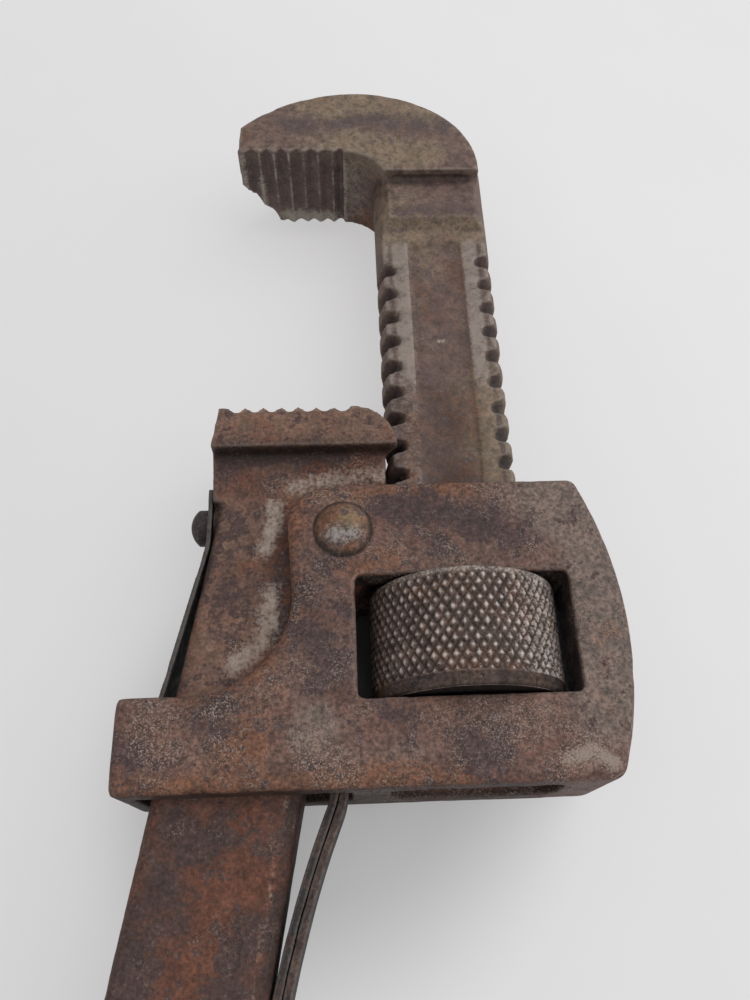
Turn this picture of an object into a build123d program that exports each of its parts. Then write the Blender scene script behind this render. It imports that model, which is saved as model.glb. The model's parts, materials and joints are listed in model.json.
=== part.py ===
from build123d import *

import os
from math import acos, cos, degrees, radians, sin, sqrt

# Pipe wrench lying on its side: a hook jaw with thread segments on both edges slides in a sprung frame,
# which rocks on a rivet through the forged bar that carries the heel jaw. Millimetres, +Z up, +Y towards
# the hook. The origin is the middle of the base of the box round the wrench.

# Bar and heel jaw
bar_thickness = 12.0
bar_width = 24.7
bar_edge_round = 2.2
handle_angle = 9.7
handle_length = 244.0
handle_offset = 12.3
bar_neck = 4.0
bar_waist = 14.0
bar_waist_round = 9.0
boss_right = 8.6
boss_low = 2.5
boss_round = 6.0
hang_hole_radius = 5.0
heel_thickness = 24.0
heel_underside = 17.9
heel_height = 8.6
heel_taper = 1.4
heel_left = 24.9
heel_right = 10.8
neck_start = 9.2
neck_rise = 2.2
thread_relief = 1.6

# Jaw teeth
tooth_pitch = 3.4
tooth_depth = 1.25
tooth_count = 7
heel_last_valley = 0.4
hook_last_valley = 1.1

# Thread on the hook jaw and in its nut
thread_pitch = 6.35
thread_radius = 13.0
thread_depth = 2.6
groove_root_width = 2.0
groove_crest_width = 3.6
thread_clearance = 0.3
thread_top_gap = 10.5
thread_turns = 18
thread_overrun = 0.8

# Hook jaw
shank_thickness = 12.0
shank_end = 40.0
shank_end_bevel = 1.0
panel_width = 11.9
panel_depth = 0.5
panel_gap = 4.7
panel_corner = 1.5
root_thickness = 17.0
root_length = 11.6
root_slope = 2.0
head_thickness = 22.6
head_height = 25.9
head_low_gap = 6.0
head_crown_x = 3.9
head_overhang = 11.2
head_side = 1.6
head_corner_radius = 22.0
head_corner_turn = 50.0
head_edge_round = 1.2
hook_teeth = 95.9
hook_tip = 22.5
hook_tip_height = 8.7
hook_tip_draft = 0.5
throat_radius = 10.0
throat_gap = 2.9
tip_cut_length = 9.0
tip_cut_height = 12.8

# Frame
plate_thickness = 6.0
side_clearance = 0.5
frame_top = 9.4
frame_bottom = 44.5
bar_side_gap = 2.3
frame_bow_top = 6.0
frame_bow_low = 4.7
frame_edge_round = 1.5
bridge_top = 28.85
bridge_wall = 3.0
right_wall = 9.5
scoop_radius = 17.55
scoop_right = 9.25
collar_left = 10.2
collar_radius = 7.5
top_corner = 2.0
low_right_corner = 3.2
low_left_corner = 1.2
bridge_corner = 0.8
web_left = 0.4
channel_clearance = 1.6
channel_corner = 4.0
window_left_gap = 2.65
window_right_gap = 0.55
window_corner = 1.0

# Adjusting nut
nut_radius = 17.25
nut_length = 20.5
nut_top = 9.3
nut_end_play = 0.5
nut_bevel = 0.9
nut_to_pivot = 4.55

# Pivot rivet
rivet_radius = 4.0
rivet_head_radius = 5.65
rivet_head_height = 2.6
rivet_fit = 0.02
pivot_running_fit = 0.08

# Leaf springs and their rivets
spring_width = 10.0
spring_gap = 0.3
front_leaf = 0.9
front_leaf_top = 12.4
front_leaf_lift = 2.6
front_leaf_angle = 13.2
front_leaf_bend = 14.0
front_leaf_return = 10.0
front_leaf_tip = 2.5
back_leaf = 1.45
back_leaf_gap = 0.1
back_leaf_end = 113.0
back_leaf_step = 3.0
back_leaf_lift = 82.5
back_leaf_radius = 163.0
back_leaf_return = 13.0
back_leaf_tip = 4.0
spring_rivet_radius = 2.0
spring_rivet_head = 3.6
spring_rivet_dome = 3.8
spring_rivet_depth = 8.0
spring_rivet_rim = 2.1
spring_pad_radius = 4.5
spring_pad_depth = 4.0
front_rivet_height = 6.3
back_rivet_along = 102.0

# Sizes that follow from the ones above
plate_gap = max(bar_thickness, shank_thickness) + 2 * side_clearance
frame_thickness = plate_gap + 2 * plate_thickness
thread_axis = nut_to_pivot + nut_radius
channel_half = thread_radius + channel_clearance
window_top = nut_top - nut_end_play
window_bottom = nut_top + nut_length + nut_end_play
window_left = thread_axis - nut_radius - window_left_gap
window_right = thread_axis + nut_radius + window_right_gap
frame_right = window_right + right_wall
bulge_share = sqrt(frame_bow_top) / (sqrt(frame_bow_top) + sqrt(frame_bow_low))
bulge_height = frame_top - bulge_share * (frame_top + frame_bottom)
heel_top = heel_underside + heel_height
slope_x = sin(radians(handle_angle))
slope_y = cos(radians(handle_angle))
left_across = handle_offset + bar_width / 2
left_drop = frame_bottom + left_across * slope_x
frame_left = left_across * slope_y + left_drop * slope_x / slope_y + bar_side_gap + bridge_wall
head_low = hook_teeth - head_low_gap
head_top = head_low + head_height
head_right = thread_axis + head_overhang
root_low = head_low - root_length
panel_top = root_low - panel_gap
thread_phase = root_low - thread_top_gap - 2 * thread_pitch
throat_end = thread_axis - thread_radius + throat_gap
throat_start = throat_end - throat_radius


def on_handle(along, across):
    """Plan point a way down the handle from the pivot, and to the right of the handle's centre line."""
    return (
        (across - handle_offset) * slope_y - along * slope_x,
        (handle_offset - across) * slope_x - along * slope_y,
    )


tail_x, tail_y = on_handle(handle_length - bar_width / 2, 0)
pivot_x = -(tail_x - bar_width / 2 + frame_right) / 2
pivot_y = -(tail_y - bar_width / 2 + head_top) / 2
wrench = Plane((pivot_x, pivot_y, nut_radius))


def across_shank(height):
    """Plane square to the hook jaw's shank, with its origin on the thread's axis."""
    return Plane(wrench.from_local_coords((thread_axis, height, 0)), x_dir=(1, 0, 0), z_dir=(0, 1, 0))


def valleys(last_valley, tooth_line, depth):
    """Row of V valleys, cut into a jaw from its tooth line."""
    with BuildSketch() as row:
        for index in range(tooth_count):
            middle = last_valley - index * tooth_pitch
            with BuildLine():
                Polyline(
                    (middle - tooth_pitch / 2, tooth_line),
                    (middle, tooth_line - depth),
                    (middle + tooth_pitch / 2, tooth_line),
                    close=True,
                )
            make_face()
    return row.sketch


def half_turn(inner_radius, outer_radius, inner_width, outer_width):
    """Half a turn of thread about Y, whose middle is on +X at Y zero."""
    with BuildPart() as turn:
        with BuildLine():
            path = Helix(
                thread_pitch,
                thread_pitch / 2,
                (inner_radius + outer_radius) / 2,
                center=(0, -thread_pitch / 4, 0),
                direction=(0, 1, 0),
            )
        with BuildSketch(Plane((0, -thread_pitch / 4, 0), x_dir=(0, 0, 1), z_dir=(-1, 0, 0))):
            with BuildLine():
                Polyline(
                    (inner_radius, -inner_width / 2),
                    (outer_radius, -outer_width / 2),
                    (outer_radius, outer_width / 2),
                    (inner_radius, inner_width / 2),
                    close=True,
                )
            make_face()
        sweep(path=path, is_frenet=True)
    return turn.part


def turn_places(heights):
    """Places of the half turns on both sides of the thread's axis, for turns at these heights."""
    right = [Location((thread_axis, height, 0)) for height in heights]
    left = [Location((thread_axis, height - thread_pitch / 2, 0), (0, 180, 0)) for height in heights]
    return right + left


def spring_rivet(seat, grip):
    """Rivet whose domed head sits on the seat plane, with its shank going in by the grip."""
    with BuildPart() as rivet:
        with BuildSketch(Plane(seat.origin, x_dir=seat.x_dir, z_dir=-seat.y_dir)):
            with BuildLine():
                dome = TangentArc(
                    (0, spring_rivet_dome),
                    (spring_rivet_head, spring_rivet_rim),
                    tangent=(1, 0),
                )
                Polyline(
                    dome @ 1,
                    (spring_rivet_head, 0),
                    (spring_rivet_radius, 0),
                    (spring_rivet_radius, -grip),
                    (0, -grip),
                    dome @ 0,
                )
            make_face()
        revolve(axis=Axis(seat.origin, seat.z_dir))
    return rivet.part


thread_heights = [thread_phase + (2 - turn) * thread_pitch for turn in range(thread_turns)]

# Planes on which the spring rivets' heads sit
front_seat = Plane(
    wrench.from_local_coords((-heel_left - front_leaf, front_rivet_height, 0)),
    x_dir=(0, 1, 0),
    z_dir=(-1, 0, 0),
)
back_stack = 2 * back_leaf + 2 * back_leaf_gap
back_seat_x, back_seat_y = on_handle(back_rivet_along, bar_width / 2 + back_stack)
back_seat = Plane(
    wrench.from_local_coords((back_seat_x, back_seat_y, 0)),
    x_dir=(0, 0, 1),
    z_dir=(slope_y, -slope_x, 0),
)

# Bar with the heel jaw
with BuildPart(wrench) as handle_bar:
    with BuildSketch(wrench.offset(-bar_thickness / 2)) as bar_outline:
        with BuildLine():
            left = Polyline(
                (boss_right, heel_underside),
                (-heel_left, heel_underside),
                on_handle(-bar_neck, -bar_width / 2),
                on_handle(handle_length - bar_width / 2, -bar_width / 2),
            )
            tail = TangentArc(
                left @ 1,
                on_handle(handle_length - bar_width / 2, bar_width / 2),
                tangent=left % 1,
            )
            Polyline(
                tail @ 1,
                on_handle(bar_waist, bar_width / 2),
                (boss_right, -boss_low),
                left @ 0,
            )
        make_face()
        waist = bar_outline.vertices().sort_by_distance(on_handle(bar_waist, bar_width / 2))[0]
        fillet(waist, bar_waist_round)
        boss = bar_outline.vertices().sort_by_distance((boss_right, -boss_low))[0]
        fillet(boss, boss_round)
    extrude(amount=bar_thickness)
    fillet(handle_bar.faces().filter_by(Axis.Z).edges(), bar_edge_round)
    with BuildSketch(wrench.offset(-heel_thickness / 2)):
        with BuildLine():
            top = Line((-heel_left + heel_taper, heel_top), (heel_right - heel_height, heel_top))
            corner = TangentArc(top @ 1, (heel_right, heel_underside), tangent=(1, 0))
            Polyline(corner @ 1, (-heel_left, heel_underside), top @ 0)
        make_face()
    extrude(amount=heel_thickness)
    neck_plane = Plane(
        wrench.from_local_coords((-heel_left, 0, 0)),
        x_dir=(0, 1, 0),
        z_dir=(1, 0, 0),
    )
    with BuildSketch(neck_plane):
        with BuildLine():
            scoop = TangentArc(
                (neck_start, bar_thickness / 2),
                (heel_underside, bar_thickness / 2 + neck_rise),
                tangent=(1, 0),
            )
            Polyline(scoop @ 1, (heel_underside, 0), (neck_start, 0), scoop @ 0)
        make_face()
        mirror(about=Plane.XZ)
    extrude(amount=heel_left + boss_right)
    with BuildSketch(across_shank(-bar_waist)):
        Circle(thread_radius + thread_relief)
    extrude(amount=bar_waist + heel_top, mode=Mode.SUBTRACT)
    extrude(
        wrench.offset(-heel_thickness / 2) * valleys(heel_last_valley, heel_top, tooth_depth),
        amount=heel_thickness,
        mode=Mode.SUBTRACT,
    )
    with Locations((0, 0, bar_thickness / 2)):
        Hole(rivet_radius + pivot_running_fit)
    with Locations(on_handle(handle_length - bar_width / 2, 0)):
        Hole(hang_hole_radius)
    with BuildSketch(front_seat.offset(-front_leaf)):
        Circle(spring_pad_radius)
    extrude(amount=-spring_pad_depth)
    with BuildSketch(front_seat):
        Circle(spring_rivet_radius)
    extrude(amount=-front_leaf - spring_rivet_depth, mode=Mode.SUBTRACT)
    with BuildSketch(back_seat):
        Circle(spring_rivet_radius)
    extrude(amount=-back_stack - spring_rivet_depth, mode=Mode.SUBTRACT)

# Hook jaw: head with teeth, thicker root and flat shank with threaded edges
groove_slope = (groove_crest_width - groove_root_width) / thread_depth
groove = half_turn(
    thread_radius - thread_depth,
    thread_radius + thread_overrun,
    groove_root_width,
    groove_crest_width + thread_overrun * groove_slope,
)
with BuildPart(wrench) as hook_jaw:
    with BuildSketch(across_shank(-shank_end)):
        Rectangle(2 * thread_radius, shank_thickness)
        Circle(thread_radius, mode=Mode.INTERSECT)
    extrude(amount=shank_end + root_low - root_slope)
    chamfer(hook_jaw.faces().sort_by(Axis.Y)[0].edges(), shank_end_bevel)
    with Locations(*turn_places(thread_heights)):
        add(groove, mode=Mode.SUBTRACT)
    panel_length = shank_end + panel_top + panel_corner
    with BuildSketch(wrench.offset(shank_thickness / 2 - panel_depth)) as panel:
        with Locations((thread_axis, panel_top - panel_length / 2)):
            RectangleRounded(panel_width, panel_length, panel_corner)
    extrude(amount=panel_depth, mode=Mode.SUBTRACT)
    extrude(
        wrench.offset(-shank_thickness / 2) * panel.sketch_local,
        amount=panel_depth,
        mode=Mode.SUBTRACT,
    )
    with BuildSketch(across_shank(root_low - root_slope)):
        Rectangle(2 * thread_radius, root_thickness)
        Circle(thread_radius, mode=Mode.INTERSECT)
    extrude(amount=root_slope + hook_teeth - root_low)
    step_plane = Plane(
        wrench.from_local_coords((thread_axis - 2 * thread_radius, root_low, 0)),
        x_dir=(0, 1, 0),
        z_dir=(1, 0, 0),
    )
    with BuildSketch(step_plane):
        with BuildLine():
            Polyline(
                (0, root_thickness / 2),
                (-root_slope, shank_thickness / 2),
                (-root_slope, root_thickness / 2),
                close=True,
            )
        make_face()
        mirror(about=Plane.XZ)
    extrude(amount=4 * thread_radius, mode=Mode.SUBTRACT)
    with BuildSketch(wrench.offset(-head_thickness / 2)):
        throat_low = hook_teeth - throat_radius
        throat_edge = throat_start + sqrt(throat_radius**2 - (head_low - throat_low) ** 2)
        with BuildLine():
            side = Line((head_right, head_low), (head_right, head_low + head_side))
            shoulder = JernArc(side @ 1, side % 1, head_corner_radius, head_corner_turn)
            crown = TangentArc(shoulder @ 1, (head_crown_x, head_top), tangent=shoulder % 1)
            nose = TangentArc(
                crown @ 1,
                (hook_tip_draft - hook_tip, hook_teeth + hook_tip_height),
                tangent=crown % 1,
            )
            edge = Polyline(nose @ 1, (-hook_tip, hook_teeth), (throat_start, hook_teeth))
            throat = TangentArc(edge @ 1, (throat_edge, head_low), tangent=(1, 0))
            Line(throat @ 1, side @ 0)
        make_face()
    extrude(amount=head_thickness)
    flats = hook_jaw.faces().sort_by(Axis.Z)
    rim = flats[0].edges().filter_by(GeomType.CIRCLE).sort_by(Axis.Y)[1:]
    rim += flats[-1].edges().filter_by(GeomType.CIRCLE).sort_by(Axis.Y)[1:]
    fillet(rim, head_edge_round)
    extrude(
        wrench.offset(-head_thickness / 2) * valleys(hook_last_valley, hook_teeth, -tooth_depth),
        amount=head_thickness,
        mode=Mode.SUBTRACT,
    )
    with BuildSketch(across_shank(head_low)):
        with BuildLine():
            Polyline(
                (-hook_tip - thread_axis, head_thickness / 2 - tip_cut_height),
                (tip_cut_length - hook_tip - thread_axis, head_thickness / 2),
                (-hook_tip - thread_axis, head_thickness / 2),
                close=True,
            )
        make_face()
    extrude(amount=head_top - head_low, mode=Mode.SUBTRACT)

# Frame: two plates joined by the right wall, the web and the left bridge
with BuildPart(wrench) as frame:
    with BuildSketch(wrench.offset(-frame_thickness / 2)) as frame_outline:
        with BuildLine():
            bow = ThreePointArc(
                (frame_right - frame_bow_top, frame_top),
                (frame_right, bulge_height),
                (frame_right - frame_bow_low, -frame_bottom),
            )
            base = Polyline(
                bow @ 1,
                (-frame_left, -frame_bottom),
                (-frame_left, -bridge_top),
                (-scoop_right - scoop_radius, -bridge_top),
            )
            scoop = TangentArc(base @ 1, (-scoop_right, scoop_radius - bridge_top), tangent=(1, 0))
            waist = Line(scoop @ 1, (-collar_left, frame_top - collar_radius))
            collar = TangentArc(waist @ 1, (collar_radius - collar_left, frame_top), tangent=(0, 1))
            Line(collar @ 1, bow @ 0)
        make_face()
        corners = frame_outline.vertices()
        fillet(corners.sort_by_distance((frame_right - frame_bow_top, frame_top))[0], top_corner)
        corners = frame_outline.vertices()
        fillet(corners.sort_by_distance((frame_right - frame_bow_low, -frame_bottom))[0], low_right_corner)
        corners = frame_outline.vertices()
        fillet(corners.sort_by_distance((-frame_left, -frame_bottom))[0], low_left_corner)
        corners = frame_outline.vertices()
        fillet(corners.sort_by_distance((-frame_left, -bridge_top))[0], bridge_corner)
    extrude(amount=frame_thickness)
    fillet(frame.faces().filter_by(Axis.Z).edges(), frame_edge_round)
    with BuildSketch(wrench.offset(-plate_gap / 2)):
        with BuildLine():
            Polyline(
                (bridge_wall - frame_left, -frame_bottom),
                (web_left, -frame_bottom),
                (web_left, -window_bottom),
                (thread_axis, -window_bottom),
                (thread_axis, frame_top),
                (bridge_wall - frame_left, frame_top),
                close=True,
            )
        make_face()
    extrude(amount=plate_gap, mode=Mode.SUBTRACT)
    with BuildSketch(across_shank(-frame_bottom)):
        RectangleRounded(2 * channel_half, plate_gap, channel_corner)
    extrude(amount=frame_bottom + frame_top, mode=Mode.SUBTRACT)
    with BuildSketch(wrench.offset(-frame_thickness / 2)):
        with Locations(((window_left + window_right) / 2, -(window_top + window_bottom) / 2)):
            RectangleRounded(window_right - window_left, window_bottom - window_top, window_corner)
    extrude(amount=frame_thickness, mode=Mode.SUBTRACT)
    with Locations((0, 0, frame_thickness / 2)):
        Hole(rivet_radius + rivet_fit)

# Adjusting nut: ring with a helical ridge in its bore
ridge_slack = 2 * thread_clearance * sqrt(1 + (groove_slope / 2) ** 2)
ridge = half_turn(
    thread_radius - thread_depth + thread_clearance,
    thread_radius + thread_overrun,
    groove_root_width + thread_clearance * groove_slope - ridge_slack,
    groove_crest_width + thread_overrun * groove_slope - ridge_slack,
)
nut_low = -nut_top - nut_length
nut_turns = [y for y in thread_heights if nut_low - thread_pitch < y < thread_pitch - nut_top]
with BuildPart(wrench) as adjusting_nut:
    with BuildSketch(across_shank(nut_low)):
        Circle(nut_radius)
    extrude(amount=nut_length)
    chamfer(adjusting_nut.edges().filter_by(GeomType.CIRCLE), nut_bevel)
    with BuildSketch(across_shank(nut_low)):
        Circle(thread_radius + thread_clearance)
    extrude(amount=nut_length, mode=Mode.SUBTRACT)
    with Locations(*turn_places(nut_turns)):
        add(ridge)
    with BuildSketch(across_shank(nut_low)):
        Circle(2 * nut_radius)
    extrude(amount=nut_length, mode=Mode.INTERSECT)

# Pivot rivet, domed on both faces of the frame
with BuildPart() as pivot_rivet:
    with BuildSketch(Plane(wrench.origin, x_dir=(1, 0, 0), z_dir=(0, -1, 0))):
        with BuildLine():
            dome = TangentArc(
                (0, frame_thickness / 2 + rivet_head_height),
                (rivet_head_radius, frame_thickness / 2),
                tangent=(1, 0),
            )
            Polyline(
                dome @ 1,
                (rivet_radius, frame_thickness / 2),
                (rivet_radius, 0),
                (0, 0),
                dome @ 0,
            )
        make_face()
        mirror(about=Plane.XZ)
    revolve(axis=Axis(wrench.origin, (0, 0, 1)))

# Front spring: one leaf on the bar's left edge, whose tip lies by the bridge
leaf_turn = radians(front_leaf_angle)
leaf_x = -heel_left - front_leaf / 2
tip_x = bridge_wall - frame_left + spring_gap + front_leaf / 2
bends = (front_leaf_bend + front_leaf_return) * (1 - cos(leaf_turn))
leaf_run = (leaf_x - tip_x - bends) / sin(leaf_turn)
with BuildPart() as front_spring:
    with BuildSketch(wrench.offset(-spring_width / 2)):
        with BuildLine():
            held = Line((leaf_x, front_leaf_top), (leaf_x, front_leaf_lift))
            bend = JernArc(held @ 1, held % 1, front_leaf_bend, -front_leaf_angle)
            run = Line(bend @ 1, bend @ 1 + (bend % 1) * leaf_run)
            back = JernArc(run @ 1, run % 1, front_leaf_return, front_leaf_angle)
            Line(back @ 1, back @ 1 + (back % 1) * front_leaf_tip)
        trace(line_width=front_leaf)
    extrude(amount=spring_width)
    with BuildSketch(front_seat):
        Circle(spring_rivet_radius)
    extrude(amount=-front_leaf, mode=Mode.SUBTRACT)

# Lean of the back spring's leaves that brings the outer one beside the web
outer_across = bar_width / 2 + 1.5 * back_leaf + 2 * back_leaf_gap
outer_lift_x, outer_lift_y = on_handle(back_leaf_lift, outer_across)
outer_rise = back_leaf_radius - back_leaf - back_leaf_gap
outer_return = back_leaf_return + back_leaf + back_leaf_gap
outer_tip_x = web_left - spring_gap - back_leaf / 2
lean_reach = outer_lift_x + outer_rise * slope_y + outer_return - outer_tip_x
back_leaf_lean = degrees(acos(lean_reach / (outer_rise + outer_return)))


def back_spring_leaf(outside):
    """Leaf that follows the bar's right edge, lifts off it and turns up beside the frame's web."""
    shift = outside * (back_leaf + back_leaf_gap)
    across = bar_width / 2 + back_leaf_gap + back_leaf / 2 + shift
    with BuildPart() as leaf:
        with BuildSketch(wrench.offset(-spring_width / 2)):
            with BuildLine():
                held = Line(
                    on_handle(back_leaf_end - outside * back_leaf_step, across),
                    on_handle(back_leaf_lift, across),
                )
                rise = JernArc(
                    held @ 1,
                    held % 1,
                    back_leaf_radius - shift,
                    handle_angle - back_leaf_lean,
                )
                turn_up = JernArc(rise @ 1, rise % 1, back_leaf_return + shift, back_leaf_lean)
                Line(turn_up @ 1, turn_up @ 1 + (turn_up % 1) * back_leaf_tip)
            trace(line_width=back_leaf)
        extrude(amount=spring_width)
        with BuildSketch(back_seat):
            Circle(spring_rivet_radius)
        extrude(amount=-back_stack, mode=Mode.SUBTRACT)
    return leaf.part


pieces = {
    "handle_bar": handle_bar.part,
    "hook_jaw": hook_jaw.part,
    "frame": frame.part,
    "adjusting_nut": adjusting_nut.part,
    "pivot_rivet": pivot_rivet.part,
    "front_spring": front_spring.part,
    "front_spring_rivet": spring_rivet(front_seat, front_leaf + spring_rivet_depth),
    "back_spring_inner_leaf": back_spring_leaf(0),
    "back_spring_outer_leaf": back_spring_leaf(1),
    "back_spring_rivet": spring_rivet(back_seat, back_stack + spring_rivet_depth),
}
os.makedirs("parts", exist_ok=True)
for name, piece in pieces.items():
    piece.label = name
    export_step(piece, f"parts/{name}.step")
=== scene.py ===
import json
import math

import bmesh
import bpy
import numpy as np
from mathutils import Matrix, Vector, noise


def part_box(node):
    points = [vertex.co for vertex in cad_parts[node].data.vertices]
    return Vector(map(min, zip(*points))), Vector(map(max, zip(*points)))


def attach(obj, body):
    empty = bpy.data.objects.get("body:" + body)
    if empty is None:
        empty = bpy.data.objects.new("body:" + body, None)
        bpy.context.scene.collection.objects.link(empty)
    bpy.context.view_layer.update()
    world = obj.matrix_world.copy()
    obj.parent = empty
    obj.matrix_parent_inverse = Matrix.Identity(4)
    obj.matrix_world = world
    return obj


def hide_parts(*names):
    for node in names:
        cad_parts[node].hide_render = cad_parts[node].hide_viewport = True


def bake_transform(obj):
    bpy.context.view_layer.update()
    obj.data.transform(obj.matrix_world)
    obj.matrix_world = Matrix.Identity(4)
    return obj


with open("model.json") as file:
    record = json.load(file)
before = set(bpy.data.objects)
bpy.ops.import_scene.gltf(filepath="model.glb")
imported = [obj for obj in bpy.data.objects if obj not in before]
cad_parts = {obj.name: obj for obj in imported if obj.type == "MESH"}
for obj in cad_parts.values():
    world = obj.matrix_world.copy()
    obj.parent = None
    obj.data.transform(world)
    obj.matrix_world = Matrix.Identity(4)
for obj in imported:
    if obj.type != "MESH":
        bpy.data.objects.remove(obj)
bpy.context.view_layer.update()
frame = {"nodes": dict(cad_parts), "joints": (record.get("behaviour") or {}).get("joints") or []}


# Handle bar with the heel jaw
# A drop-forged steel bar, 12 mm thick, upset at the top into the heel jaw whose teeth are cut across it.
# Every other piece hangs on it. Its scale has rusted brown, and the frame has rubbed it grey where it rocks.


def even_skin(name, node, voxel):
    """A new object holding a node's solid, covered by small even faces."""
    merge_distance = 1e-6
    shell = bmesh.new()
    shell.from_mesh(frame["nodes"][node].data)
    bmesh.ops.remove_doubles(shell, verts=shell.verts, dist=merge_distance)
    mesh = bpy.data.meshes.new(name)
    shell.to_mesh(mesh)
    shell.free()
    piece = bpy.data.objects.new(name, mesh)
    bpy.context.scene.collection.objects.link(piece)
    remesh = piece.modifiers.new("even_skin", "REMESH")
    remesh.mode = "VOXEL"
    remesh.voxel_size = voxel
    settled = piece.evaluated_get(bpy.context.evaluated_depsgraph_get())
    skin = bpy.data.meshes.new_from_object(settled)
    piece.modifiers.clear()
    piece.data = skin
    bpy.data.meshes.remove(mesh)
    skin.name = name
    return piece


def read(items, key, width, kind=np.float64):
    """One property of many mesh items, as rows of numbers."""
    rows = np.empty(len(items) * width, kind)
    items.foreach_get(key, rows)
    return rows.reshape(-1, width)


def layer_of(mesh, name):
    """The numbers stored on a mesh's points under a name."""
    return read(mesh.attributes[name].data, "value", 1)[:, 0]


def keep(mesh, name, values):
    """Stores one number for each point of a mesh, for its material to read."""
    layer = mesh.attributes.get(name) or mesh.attributes.new(name, "FLOAT", "POINT")
    layer.data.foreach_set("value", np.clip(values, 0, 1).astype(np.float32))


def ramp(values, start, end):
    """0 at the start, 1 at the end, straight between them and level beyond; the end may be the lower one."""
    return np.clip((values - start) / (end - start), 0, 1)


def most(*layers):
    """The greatest of several layers at each point."""
    return np.maximum.reduce(layers)


def ripple(place, size, seed):
    """Smooth random heights from -1 to 1 at points in metres; size is the length of one swell."""
    shift = Vector([seed * step for step in (7.31, 3.77, 1.93)])
    return np.array([noise.noise(Vector(p) / size + shift) for p in place])


# Millimetres in a metre
millimetres = 1000


def streak(height, *places, reach, strength):
    """A mark along places on a piece, at one height or a height for each place, all in millimetres."""
    heights = np.broadcast_to(height, len(places))
    return np.column_stack((places, heights)).astype(float), reach, strength


def beside(place, *streaks):
    """How near each point in metres is to a streak: the strength on its line, fading over its reach."""
    share = np.zeros(len(place))
    for line, reach, strength in streaks:
        far = ((place * millimetres - line[0]) ** 2).sum(1)
        for start, end in zip(line, line[1:]):
            way = end - start
            along = np.clip((place * millimetres - start) @ way / (way @ way), 0, 1)[:, None]
            far = np.minimum(far, ((place * millimetres - start - along * way) ** 2).sum(1))
        share = np.maximum(share, strength * np.exp(-far / reach**2))
    return share


def weathered(name, node, voxel, swell=0.06, pit=0.03, ding=0.2, seed=1):
    """A node's solid as a worn forging: edges eased, faces a little uneven, corners knocked, to depths in
    millimetres. Its points carry "edge" where the skin turns outwards and "hollow", a mask of painted shade
    and dirt, where it turns inwards."""
    easing = (0.5, -0.53)
    sharp_turn = 0.09
    deep_turn = 0.025
    hollow_reach = 0.0022
    swell_length = 0.012
    pit_length = 0.003
    ding_length = 0.0045
    ding_level = 0.12
    ding_gain = 3
    piece = even_skin(name, node, voxel)
    mesh = piece.data
    place = read(mesh.vertices, "co", 3)
    ends = read(mesh.edges, "vertices", 2, np.int32)
    links = np.bincount(ends.ravel(), minlength=len(place)).clip(1)

    def around(values):
        """The mean of each point's neighbours."""
        total = np.empty_like(values)
        for k in range(values.shape[1]):
            total[:, k] = np.bincount(ends[:, 0], values[ends[:, 1], k], len(values))
            total[:, k] += np.bincount(ends[:, 1], values[ends[:, 0], k], len(values))
        return total / links[:, None]

    def evened(values, share, turns):
        """Values drawn towards their neighbours' mean by a share, so many times."""
        for _ in range(turns):
            values = (1 - share) * values + share * around(values)
        return values

    for _ in range(2):
        for share in easing:
            place += share * (around(place) - place)
    mesh.vertices.foreach_set("co", place.ravel())
    mesh.update()
    out = read(mesh.vertices, "normal", 3)
    bend = -((around(place) - place) * out).sum(1, keepdims=True) / voxel
    bend = evened(bend, share=0.6, turns=3)
    broad_bend = evened(bend, share=0.7, turns=int(hollow_reach / voxel) ** 2)
    edge = ramp(bend[:, 0], 0, sharp_turn)
    hollow = ramp(-broad_bend[:, 0], 0, deep_turn)

    low = place.min(0)
    high = place.max(0)
    knock = np.clip(ding_gain * (ripple(place, ding_length, seed + 2) - ding_level), 0, 1) * edge
    swells = 0.5 + 0.5 * ripple(place, swell_length, seed)
    pits = 0.5 + 0.5 * ripple(place, pit_length, seed + 1)
    sink = (swell * swells + pit * pits + ding * knock) / millimetres
    place -= out * sink[:, None]
    mesh.vertices.foreach_set("co", np.clip(place, low, high).ravel())
    mesh.shade_smooth()
    mesh.update()
    keep(mesh, "edge", edge)
    keep(mesh, "hollow", hollow)
    return piece


def put(tree, kind, sockets=(), **settings):
    """Adds a node to a tree, with its settings and what goes into its sockets."""
    made = tree.nodes.new(kind)
    for key, value in settings.items():
        setattr(made, key, value)
    for key, value in dict(sockets).items():
        if isinstance(value, bpy.types.NodeSocket):
            tree.links.new(value, made.inputs[key])
        else:
            made.inputs[key].default_value = value
    return made


def add_sockets(tree, way, kind, *names):
    """Gives a node group its named sockets of one kind, INPUT or OUTPUT."""
    for name in names:
        tree.interface.new_socket(name, in_out=way, socket_type="NodeSocket" + kind)


def cloud(tree, vector, scale, detail, rough, stir=0.0):
    """Mottling whose largest patches are 1/scale metres across."""
    sockets = {"Vector": vector, "Scale": scale, "Detail": detail, "Roughness": rough, "Distortion": stir}
    return put(tree, "ShaderNodeTexNoise", sockets).outputs["Fac"]


def reckon(tree, operation, *values):
    """One step of arithmetic on values."""
    return put(tree, "ShaderNodeMath", dict(enumerate(values)), operation=operation).outputs[0]


def reckon_vector(tree, operation, *vectors):
    """One step of arithmetic on vectors that gives a vector."""
    return put(tree, "ShaderNodeVectorMath", dict(enumerate(vectors)), operation=operation).outputs[0]


def sums(tree, first, *pairs):
    """The first value plus each further value times its factor."""
    total = first
    for value, factor in pairs:
        total = reckon(tree, "MULTIPLY_ADD", value, factor, total)
    return total


def times(tree, a, b):
    """The product of two values, held between 0 and 1."""
    return put(tree, "ShaderNodeMath", {0: a, 1: b}, operation="MULTIPLY", use_clamp=True).outputs[0]


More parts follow.
